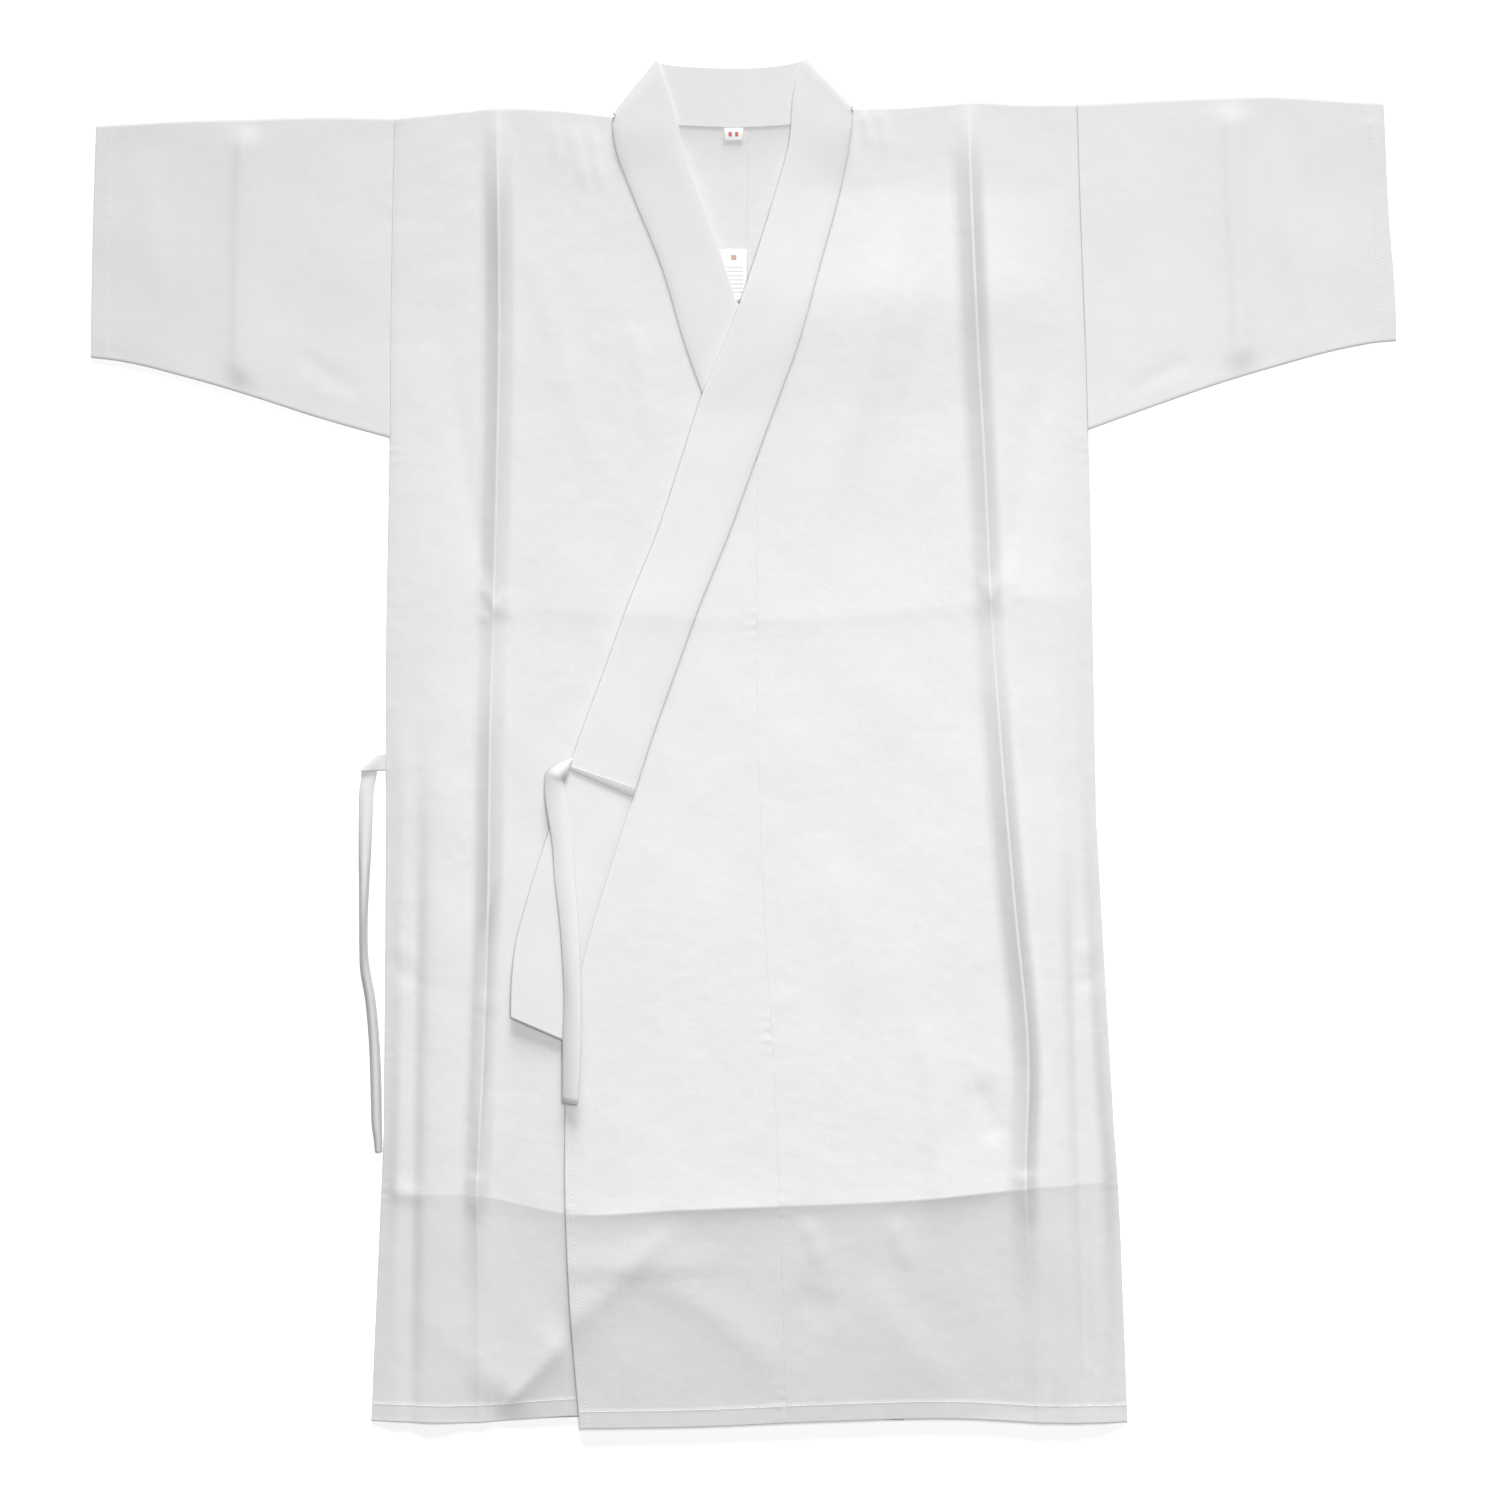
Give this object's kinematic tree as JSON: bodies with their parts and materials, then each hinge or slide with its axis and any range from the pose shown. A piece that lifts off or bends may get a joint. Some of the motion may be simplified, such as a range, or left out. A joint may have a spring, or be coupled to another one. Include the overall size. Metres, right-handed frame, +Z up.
{
  "type": "kyudo jacket",
  "caption": "Short cotton archery jacket with a crossed collar, wide cropped sleeves and side ties, laid flat on its back.",
  "frame": {"origin": "centre of the garment's outline on the surface that it lies on", "axes": "+X to the wearer's left, +Y from hem to neck, +Z up from the surface through the front of the garment"},
  "size_m": [1.0039, 1.054, 0.0172],
  "materials": {
    "right_body": "matt plain-woven cotton",
    "left_body": "matt plain-woven cotton",
    "right_okumi": "matt plain-woven cotton",
    "left_okumi": "matt plain-woven cotton",
    "right_sleeve": "matt plain-woven cotton",
    "left_sleeve": "matt plain-woven cotton",
    "collar": "matt plain-woven cotton",
    "over_collar": "matt plain-woven cotton",
    "front_tie": "matt plain-woven cotton",
    "side_tie": "matt plain-woven cotton",
    "size_label": "smooth printed tape",
    "care_label": "smooth printed tape"
  },
  "bodies": {
    "root": {"right_body": "right_body", "left_body": "left_body", "right_okumi": "right_okumi", "left_okumi": "left_okumi", "right_sleeve": "right_sleeve", "left_sleeve": "left_sleeve", "collar": "collar", "over_collar": "over_collar", "front_tie": "front_tie", "side_tie": "side_tie", "size_label": "size_label", "care_label": "care_label"}
  },
  "joints": []
}
